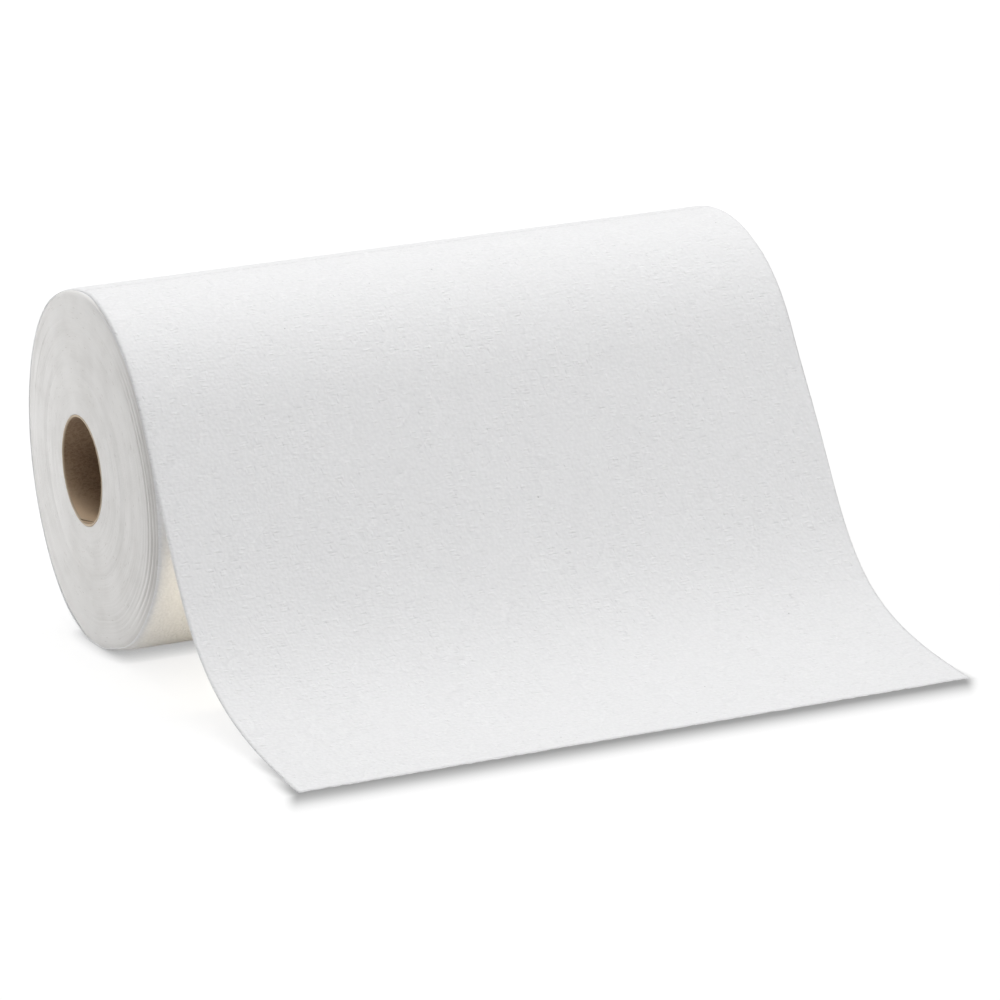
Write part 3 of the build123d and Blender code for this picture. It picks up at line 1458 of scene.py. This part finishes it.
@dataclass
class WoundTurns:
    """The wound turns inside the last sheet, as one body with the sawn edges of its turns at both ends.

    Attributes:
        section: The roll's outline.
        sheet: The strip that lies over it.
        hole_radius: The radius of the hole that the tube fills, in mm.
        turns: How many turns of paper show in an end.
        relief: How unevenly they stand.
        rim: The soft rim of both ends.
        gaps: The gaps between the loose outer turns.
        clearance: How far the side stays clear of the strip, in mm.
        inset: How far its ends stay inside the strip's side edges, in mm.
        level_part: The share of the strip's second turn after which the outline is eased out.
        columns: Columns of the mesh round the roll.
        side_rows: Rows along the side.
    """

    section: SoftSection
    sheet: LastSheet
    hole_radius: float = 22.4
    turns: int = 108
    relief: EndRelief = field(default_factory=EndRelief)
    rim: SoftRim = field(default_factory=SoftRim)
    gaps: LooseGaps = field(default_factory=LooseGaps)
    clearance: float = 0.02
    inset: float = 0.05
    level_part: float = 0.3
    columns: int = 288
    side_rows: int = 24

    def outline(self, angle: Array) -> Array:
        """The body's outline, just under the strip.

        It follows the strip's inner turn. Where that is the second one, it is eased out by one pitch, so that
        the outline closes on itself.

        Args:
            angle: Angles round the roll, in degrees.

        Returns:
            Y and Z of each point, in mm.
        """
        leave = self.section.leaving_angle(self.sheet.shown_edge.slope)
        spare = self.sheet.turns - 1.0
        turn = spare + np.mod(leave - angle - 360.0 * spare, 360.0) / 360.0
        eased_out = self.sheet.pitch * eased(turn - 1.0, (spare * self.level_part, spare))
        under = self.sheet.depth(turn) - eased_out
        return self.section.outline(angle, under + self.sheet.thickness + self.clearance)

    def rings(self, angle: Array, inset: Array, share: Array) -> Array:
        """Points between the hole and the outline.

        A point goes a share of the way from the hole's circle to the outline, less the inset at the outline.

        Args:
            angle: Angles round the roll, in degrees.
            inset: How far inside the outline each row ends, in mm.
            share: The share of the way for each row.

        Returns:
            Y and Z of the points, in mm, rows by columns.
        """
        turned = np.radians(angle)
        hole = self.hole_radius * np.stack([np.cos(turned), np.sin(turned)], axis=-1)
        spoke = self.outline(angle) - hole
        reach = 1.0 - inset / np.linalg.norm(spoke, axis=-1)
        return hole + spoke * (share * reach)[..., None]

    def end_rows(self, end: End, angle: Array) -> tuple[Array, Array, Array]:
        """The rows of one end, from the hole to the outside of its rim.

        The rim is a quarter of an ellipse: its inset falls as one less the sine, and its X as one less the
        cosine.

        Args:
            end: Which end.
            angle: Angles round the roll, in degrees.

        Returns:
            The points in mm, rows by columns, each row's turn, and how deep in a gap each point is.
        """
        width, back = self.rim.size(end, angle)
        share = np.linspace(0.0, 1.0, self.turns)[:, None] * np.ones_like(angle)
        face = self.rings(angle, width, share)
        face_x = self.relief.depths(end, self.turns, self.columns)
        swing = np.linspace(0.0, np.pi / 2, self.rim.rows + 1)[1:, None]
        rim_inset = width * (1.0 - np.sin(swing))
        rim = self.rings(angle, rim_inset, np.ones((self.rim.rows, 1)) * np.ones_like(angle))
        rim_x = back * (1.0 - np.cos(swing)) + face_x[-1] * np.cos(swing) ** 2
        face_inset = width + (1.0 - share) * (self.section.radius - self.hole_radius - width)
        gap = self.gaps.depths(np.concatenate([face_inset, rim_inset]), angle)
        x = end.value * (self.sheet.width / 2 - self.inset - (np.concatenate([face_x, rim_x]) + gap))
        rim_turn = self.turns + self.rim.turns * np.sin(swing[:, 0])
        turn = np.concatenate([np.linspace(0, self.turns, self.turns), rim_turn])
        return np.concatenate([x[..., None], np.concatenate([face, rim])], axis=-1), turn, gap

    def build(self, edges: Material, paper: Material) -> Object:
        """Makes the body as one closed loop of rows: an end, the side, the other end and the hole.

        Args:
            edges: The material of the turns' edges.
            paper: The towel's material, for the side.

        Returns:
            The piece.
        """
        angle = np.linspace(0.0, 360.0, self.columns, endpoint=False)
        shown, turn, shown_gap = self.end_rows(End.SHOWN, angle)
        far, _, far_gap = self.end_rows(End.FAR, angle)
        share = np.linspace(0.0, 1.0, self.side_rows + 2)[1:-1, None, None]
        side = shown[-1] * (1.0 - share) + far[-1] * share
        rows = np.concatenate([shown, side, far[::-1]])
        number = np.arange(rows[..., 0].size).reshape(rows.shape[:2])
        mesh = QuadMesh(rows.reshape(-1, 3))
        first, last = len(shown) - 1, len(shown) + self.side_rows
        mesh.add(grid_quads(number[: first + 1], close_columns=True), slot=0)
        mesh.add(grid_quads(number[first : last + 1], close_columns=True), slot=1)
        mesh.add(grid_quads(number[last:], close_columns=True), slot=0)
        mesh.add(grid_quads(np.stack([number[-1], number[0]]), close_columns=True), slot=1, smooth=False)
        piece = mesh.build("wound_turns", [edges, paper])
        turns = np.concatenate([turn, np.full(self.side_rows, turn[-1]), turn[::-1]])
        mark_points(piece, "turn", np.repeat(turns, self.columns))
        # The gaps' depths also mask the shade that is painted in them.
        gaps = np.concatenate([shown_gap, np.zeros((self.side_rows, self.columns)), far_gap[::-1]])
        mark_points(piece, "gap", np.clip(gaps / self.gaps.darkest, 0.0, 1.0))
        round_it = np.broadcast_to(angle * np.radians(self.section.radius), rows.shape[:2])
        mark_surface(piece, PAPER_MAP, np.stack([rows[..., 0], round_it], axis=-1).reshape(-1, 2))
        return piece


@dataclass(frozen=True)
class PlySeam:
    """The spiral seam of the tube's inner ply, and the ply beside it, a little proud and with painted light.

    Attributes:
        lead: How far it goes along the tube in one turn, in mm.
        angle: Its angle in the middle of the tube, in degrees.
        width: Its half width, in mm.
        depth: Its depth, in mm.
        proud: How far the ply stands proud beside it, in mm.
        proud_edge: The places across the seam between which the ply comes to stand proud, in mm.
        proud_reach: How far from the seam it is level again, in mm.
        painted_light: How strong the light painted beside the seam is, where 1 is its whole colour.
        painted_light_bell: How far off the seam the painted light peaks, and its reach either way, in mm.
        close: The angle either side of the seam in which the columns lie close together, in degrees.
        close_columns: How many columns there are in it.
        crowding: How strongly they crowd towards the seam.
        wide_columns: How many columns there are round the rest of the tube.
    """

    lead: float = 86.0
    angle: float = 58.2
    width: float = 0.55
    depth: float = 0.28
    proud: float = 0.12
    proud_edge: Range = (-0.15, 0.15)
    proud_reach: float = 25.0
    painted_light: float = 0.95
    painted_light_bell: tuple[float, float] = (5.0, 13.0)
    close: float = 12.0
    close_columns: int = 25
    crowding: float = 3.6
    wide_columns: int = 119

    def columns(self) -> Array:
        """The columns' places round the tube: a hyperbolic sine near the seam, and even elsewhere.

        Returns:
            Their angles from the seam, in degrees.
        """
        share = np.linspace(-self.crowding, self.crowding, self.close_columns)
        near = np.sinh(share) / np.sinh(self.crowding) * self.close
        wide = np.linspace(self.close, 360.0 - self.close, self.wide_columns + 2)[1:-1]
        return np.concatenate([near, wide])

    def raised(self, off: Array) -> Array:
        """How far the ply stands proud at a distance from the seam, in mm: eased up, and eased down again."""
        return self.proud * eased(off, self.proud_edge) * (1.0 - eased(off, (0.0, self.proud_reach)))


@dataclass
class BoardTube:
    """The spiral-wound board tube: its wall, its soft cut ends and the seam of its inner ply.

    Attributes:
        bore_radius: The bore's radius, in mm.
        wall: The wall's thickness, in mm.
        length: The tube's length, in mm.
        seam: The seam of its inner ply.
        rows: Rows of the mesh along the wall.
        cap_rows: Rows round a cut end.
        straight_to: Where the straight wall ends before a cut end, in radii of the end's round.
        fray: How ragged the cut ends are, in mm.
        fray_reach: How far along the tube the raggedness reaches, in mm.
        fray_smoothing: The reach of the moving mean over the raggedness, in columns.
        fray_seed: Its seed.
    """

    bore_radius: float = 21.4
    wall: float = 0.9
    length: float = 279.4
    seam: PlySeam = PlySeam()
    rows: int = 75
    cap_rows: int = 7
    straight_to: float = 1.2
    fray: float = 0.10
    fray_reach: float = 1.2
    fray_smoothing: int = 1
    fray_seed: int = 3

    def wall_loop(self) -> tuple[Array, Array]:
        """The wall's section as a closed loop, with rounded ends.

        Returns:
            The place along the tube and the radius of each point, in mm.
        """
        half, round_off = self.length / 2, self.wall / 2
        swing = np.linspace(-np.pi / 2, np.pi / 2, self.cap_rows)
        run = np.linspace(-1.0, 1.0, self.rows) * (half - round_off * self.straight_to)
        cap_x = half - round_off * (1.0 - np.cos(swing))
        cap_r = self.bore_radius + round_off * (1.0 + np.sin(swing))
        outside = np.full(run.size, self.bore_radius + self.wall)
        along = np.concatenate([run, cap_x, run[::-1], -cap_x[::-1]])
        radius = np.concatenate([np.full(run.size, self.bore_radius), cap_r, outside, cap_r[::-1]])
        return along, radius

    def frayed(self, along: Array, columns: int) -> Array:
        """Draws each cut end in by smoothed noise.

        Args:
            along: The places of the wall's points along the tube, in mm.
            columns: How many columns there are.

        Returns:
            X of the points in mm, rows by columns.
        """
        chance = np.random.default_rng(self.fray_seed)
        rough = smoothed(chance.normal(0.0, 1.0, columns), self.fray_smoothing) * self.fray
        at_end = eased(np.abs(along), (self.length / 2 - self.fray_reach, self.length / 2))
        return along[:, None] - (np.sign(along) * at_end)[:, None] * np.abs(rough)[None, :]

    def build(self, board: Material) -> Object:
        """Makes the tube on a grid that winds with its ply, so that the seam follows its columns.

        A point's angle is its column's angle less a whole turn for each lead along the tube. In the bore the
        seam is a bell-shaped groove at the first columns, with the proud ply and painted light beside it.

        Args:
            board: The board's material.

        Returns:
            The piece.
        """
        along, radius = self.wall_loop()
        column = self.seam.columns()
        away = np.mod(column + 180.0, 360.0) - 180.0
        off_seam = np.radians(away) * self.bore_radius
        inside = np.isclose(radius, self.bore_radius)[:, None]
        groove = inside * hump(off_seam, 0.0, self.seam.width)[None, :]
        # Painted light in a band beside the seam.
        painted_light = inside * self.seam.painted_light * hump(off_seam, *self.seam.painted_light_bell)[None, :]
        turned = np.radians(column[None, :] + self.seam.angle - 360.0 * along[:, None] / self.seam.lead)
        reach = radius[:, None] + self.seam.depth * groove - inside * self.seam.raised(off_seam)[None, :]
        x = self.frayed(along, column.size)
        points = np.stack([x, reach * np.cos(turned), reach * np.sin(turned)], axis=-1)
        number = np.arange(x.size).reshape(x.shape)
        mesh = QuadMesh(points.reshape(-1, 3))
        mesh.add(grid_quads(number, close_rows=True, close_columns=True)[:, ::-1])
        piece = mesh.build("board_tube", [board])
        mark_points(piece, "seam", groove)
        mark_points(piece, "painted_light", painted_light)
        return piece


# The studio


@dataclass(frozen=True)
class Lamp:
    """A soft box.

    Attributes:
        name: The lamp's name.
        place: Where it hangs, in metres.
        size: Its width and height, in metres.
        power: Its power, in watts.
        tint: Its colour.
        aim: The point that it is turned to, in metres.
    """

    name: str
    place: Point
    size: tuple[float, float]
    power: float
    tint: tuple[float, float, float] = (1.0, 1.0, 1.0)
    aim: Point = (0.0, -0.06, 0.0)

    def hang(self) -> None:
        """Hangs the lamp and turns it to its aim."""
        light = bpy.data.lights.new(self.name, "AREA")
        light.shape = "RECTANGLE"
        light.size, light.size_y = self.size
        light.energy = self.power
        light.color = self.tint
        lamp = bpy.data.objects.new(self.name, light)
        lamp.location = self.place
        lamp.rotation_mode = "QUATERNION"
        lamp.rotation_quaternion = (Vector(self.aim) - Vector(self.place)).to_track_quat("-Z", "Y")
        lamp.visible_camera = False
        bpy.context.scene.collection.objects.link(lamp)


@dataclass(frozen=True)
class CameraStand:
    """The camera at the photograph's angle.

    Attributes:
        aim: The point that it looks at, in mm.
        azimuth: Its direction round the object, from the front towards the shown end, in degrees.
        elevation: How far it looks down, in degrees.
        roll: How far it is turned about its own line of sight, in degrees.
        distance: How far it stands from the aim, in mm.
        lens: Its focal length, in mm.
        sensor: The width of its sensor, in mm.
        sight: How far it sees, in metres.
    """

    aim: Point = (34.1, -13.4, -33.15)
    azimuth: float = 23.47
    elevation: float = 15.70
    roll: float = -1.74
    distance: float = 2718.1
    lens: float = 242.2
    sensor: float = 36.0
    sight: float = 30.0

    def place(self) -> None:
        """Makes the camera and gives it to the scene.

        It looks along its azimuth and down its elevation, and its sides are turned by the roll.
        """
        across, down, turned = np.radians([self.azimuth, self.elevation, self.roll])
        ahead = Vector((np.sin(across) * np.cos(down), np.cos(across) * np.cos(down), -np.sin(down)))
        level = Vector((np.cos(across), -np.sin(across), 0.0))
        right = level * np.cos(turned) + level.cross(ahead) * np.sin(turned)
        up = right.cross(ahead)
        stand = bpy.data.objects.new("camera", bpy.data.cameras.new("camera"))
        stand.data.lens = self.lens
        stand.data.sensor_width = self.sensor
        stand.data.clip_end = self.sight
        spot = (Vector(self.aim) - ahead * self.distance) * MM
        turn = Matrix((right, up, -ahead)).transposed().to_4x4()
        stand.matrix_world = Matrix.Translation(spot) @ turn
        bpy.context.scene.collection.objects.link(stand)
        bpy.context.scene.camera = stand


def looked_at(sheet: NodeSheet) -> Socket:
    """Tells what is looked at from what lights the object.

    Args:
        sheet: The sheet that adds the nodes.

    Returns:
        1 for what the camera sees, also in gloss and through glass, and 0 for the rest.
    """
    ray = sheet.tree.nodes.new("ShaderNodeLightPath").outputs
    shiny = sheet.math("MAXIMUM", ray["Is Glossy Ray"], ray["Is Transmission Ray"])
    return sheet.math("MAXIMUM", ray["Is Camera Ray"], shiny)


@dataclass(frozen=True)
class EndShade:
    """The soft shadow on the table by the sheet's torn end.

    Attributes:
        corners: The torn end's two corners, X and Y in mm, from the shown end to the far end.
        dark: How much darker the shadow is, where 1 is black.
        beside: How far it spreads beside the sheet, in mm.
        before: How far it spreads before the torn end, in mm.
        fade: How far behind the torn end it has faded out, in mm.
        back: How far behind the lifted far corner it starts, in mm.
        slant: How far it leans towards the shown end for each mm that it spreads before the torn end, in mm.
    """

    corners: tuple[tuple[float, float], tuple[float, float]]
    dark: float = 0.60
    beside: float = 3.7
    before: float = 12.0
    fade: float = 32.0
    back: float = 4.5
    slant: float = 0.44

    def left_white(self, sheet: NodeSheet, place: Socket) -> Socket:
        """How much of the table's white the shadow leaves.

        The shadow is a bell of the way out of the strip's footprint: beside it, over one spread, and before
        the line between the end's two corners, over the other. It fades out behind that line.

        Args:
            sheet: The sheet that adds the table's nodes.
            place: The place on the table, in metres.

        Returns:
            The share that is left, from 0 to 1.
        """
        (x_0, y_0), (x_1, y_1) = self.corners
        x, y, _ = sheet.split(place)
        turn = (y_1 + self.back - y_0) / (x_1 - x_0)
        line = sheet.math("MULTIPLY_ADD", x, turn, (y_0 - turn * x_0) * MM)
        ahead = sheet.math("SUBTRACT", line, y)
        out = sheet.math("MAXIMUM", ahead, 0.0)
        leaned = sheet.math("MULTIPLY_ADD", out, self.slant, x)
        shown_side = sheet.math("SUBTRACT", x_0 * MM, leaned)
        far_side = sheet.math("SUBTRACT", leaned, x_1 * MM)
        off_side = sheet.math("MAXIMUM", sheet.math("MAXIMUM", shown_side, far_side), 0.0)
        wide = sheet.math("DIVIDE", off_side, self.beside * MM)
        deep = sheet.math("DIVIDE", out, self.before * MM)
        fading = sheet.step(ahead, (-self.fade * MM, 0.0))
        shadow = sheet.product(sheet.bell(wide), sheet.bell(deep), fading)
        return sheet.math("MULTIPLY_ADD", shadow, -self.dark, 1.0)


@dataclass(frozen=True)
class Table:
    """A white table without edges, that goes over into the white room.

    Attributes:
        height: Its height, in mm.
        end_shade: The soft shadow by the torn end.
        white: How much light it gives back to the object.
        shown_white: How much it gives back to the camera, which is how strong broad shadows look.
        lift: How much brighter it looks to the camera, so that its lit part is white.
        far_off: The distances between which it goes over into the room, in mm.
        contact_reach: How far off something still darkens it by its nearness, in mm.
        contact_power: The power that the open share of its sky is raised to.
        contact_dark: How much of its white is left where something touches it.
        contact_samples: How many samples its open share of the sky takes.
        clearance: How far under the roll it lies, in mm.
        half_size: Half its width and depth, in mm.
        lines: The lines of its grid each way.
        crowding: How strongly they crowd towards the middle.
    """

    height: float
    end_shade: EndShade
    white: float = 0.85
    shown_white: float = 0.25
    lift: float = 0.80
    far_off: Range = (450.0, 1000.0)
    contact_reach: float = 6.0
    contact_power: float = 0.7
    contact_dark: float = 0.46
    contact_samples: int = 6
    clearance: float = 0.02
    half_size: float = 9000.0
    lines: int = 33
    crowding: float = 4.0

    def material(self) -> Material:
        """Makes the table's material.

        It gives back its white to the object. To the camera it gives back less, and adds a light of its own
        that the thin shadows near the object darken.

        Returns:
            The material.
        """
        material, sheet, shader = principled("white_table", roughness=1.0, specular=0.0)
        seen, place = looked_at(sheet), sheet.place()
        near_by = sheet.node("ShaderNodeAmbientOcclusion", distance=self.contact_reach * MM)
        near_by.samples = self.contact_samples
        open_share = sheet.math("POWER", near_by.outputs["AO"], self.contact_power)
        by_roll = sheet.math("MULTIPLY_ADD", open_share, 1.0 - self.contact_dark, self.contact_dark)
        contact = sheet.math("MINIMUM", by_roll, self.end_shade.left_white(sheet, place))
        shown_white = sheet.product(contact, self.shown_white)
        lit = sheet.blend(seen, (self.white,) * 3 + (1.0,), sheet.combine(*(shown_white,) * 3))
        sheet.plug(shader.inputs["Base Color"], lit)
        sheet.plug(shader.inputs["Emission Color"], WHITE)
        off = sheet.node("ShaderNodeVectorMath", vector=place)
        off.operation = "LENGTH"
        near, far = self.far_off
        away = sheet.step(off.outputs["Value"], (near * MM, far * MM))
        shown = sheet.math("MULTIPLY_ADD", away, 1.0 - self.lift, self.lift)
        sheet.plug(shader.inputs["Emission Strength"], sheet.product(seen, shown, contact))
        return material

    def lay(self) -> None:
        """Lays the table: a flat grid whose lines are closest in the middle, by a hyperbolic sine."""
        material = self.material()
        share = np.linspace(-self.crowding, self.crowding, self.lines)
        reach = np.sinh(share) / np.sinh(self.crowding) * self.half_size
        x, y = np.meshgrid(reach, reach, indexing="ij")
        points = np.stack([x, y, np.full_like(x, self.height - self.clearance)], axis=-1)
        mesh = QuadMesh(points.reshape(-1, 3))
        mesh.add(grid_quads(np.arange(x.size).reshape(x.shape)))
        mesh.build("table", [material])


@dataclass(frozen=True)
class Studio:
    """A white table under even light from a pale room and a few soft boxes.

    The last lamp stands for the warm light that the thin free sheet lets through on to the roll behind it.

    Attributes:
        table: The table.
        room: How bright the room is, where 1 is white.
        lamps: The soft boxes.
        camera: The camera.
    """

    table: Table
    room: float = 0.14
    lamps: tuple[Lamp, ...] = (
        Lamp("top_box", (0.05, -0.10, 1.70), (2.0, 1.6), 21.5),
        Lamp("back_box", (0.10, 1.00, 1.50), (1.6, 1.2), 8.8),
        Lamp("left_box", (-1.50, 0.70, 1.15), (1.0, 1.0), 4.7),
        Lamp("front_box", (0.90, -2.20, 0.50), (0.8, 0.5), 14.0),
        Lamp("end_box", (-0.36, 0.42, -0.02), (0.20, 0.10), 0.88),
        Lamp("sheet_glow", (0.0, -0.103, -0.040), (0.26, 0.05), 0.043, WARM, aim=(0.0, -0.026, -0.060)),
    )
    camera: CameraStand = CameraStand()

    def light_room(self) -> None:
        """Lights the room evenly, and shows it white."""
        world = bpy.data.worlds.new("pale_room")
        world.use_nodes = True
        sheet = NodeSheet(world.node_tree)
        strength = sheet.math("MULTIPLY_ADD", looked_at(sheet), 1.0 - self.room, self.room)
        background = world.node_tree.nodes["Background"].inputs
        sheet.plug(background["Strength"], strength)
        sheet.plug(background["Color"], WHITE)
        bpy.context.scene.world = world

    def build(self) -> None:
        """Makes the room, the table, the lamps and the camera, and sets how the picture is shown."""
        bpy.context.scene.view_settings.view_transform = "Standard"
        self.light_room()
        self.table.lay()
        for lamp in self.lamps:
            lamp.hang()
        self.camera.place()


def attach(piece: Object, node: str) -> None:
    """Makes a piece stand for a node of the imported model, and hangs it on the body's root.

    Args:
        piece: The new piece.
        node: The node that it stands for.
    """
    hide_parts(node)
    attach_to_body(piece, "root")
    log.info("%s stands for %s: %d faces", piece.name, node, len(piece.data.polygons))


def main() -> None:
    """Builds the roll and the studio, piece by piece."""
    logging.basicConfig(level=logging.INFO, format="%(name)s: %(message)s")
    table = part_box("towel_web")[0].z / MM
    groups = SharedGroups(MattedFibres().build(), PressedPaper().build())
    paper = TowelPaperFinish().material(groups)
    section = SoftSection(table)
    sheet = LastSheet(section)
    attach(sheet.build(paper), "towel_web")
    Studio(Table(table, EndShade(sheet.corners()))).build()
    turns = WoundTurns(section, sheet)
    attach(turns.build(TurnEdgeFinish().material(groups), paper), "towel_web")
    attach(BoardTube().build(CoreBoardFinish().material(groups)), "core_tube")


if __name__ == "__main__":
    main()
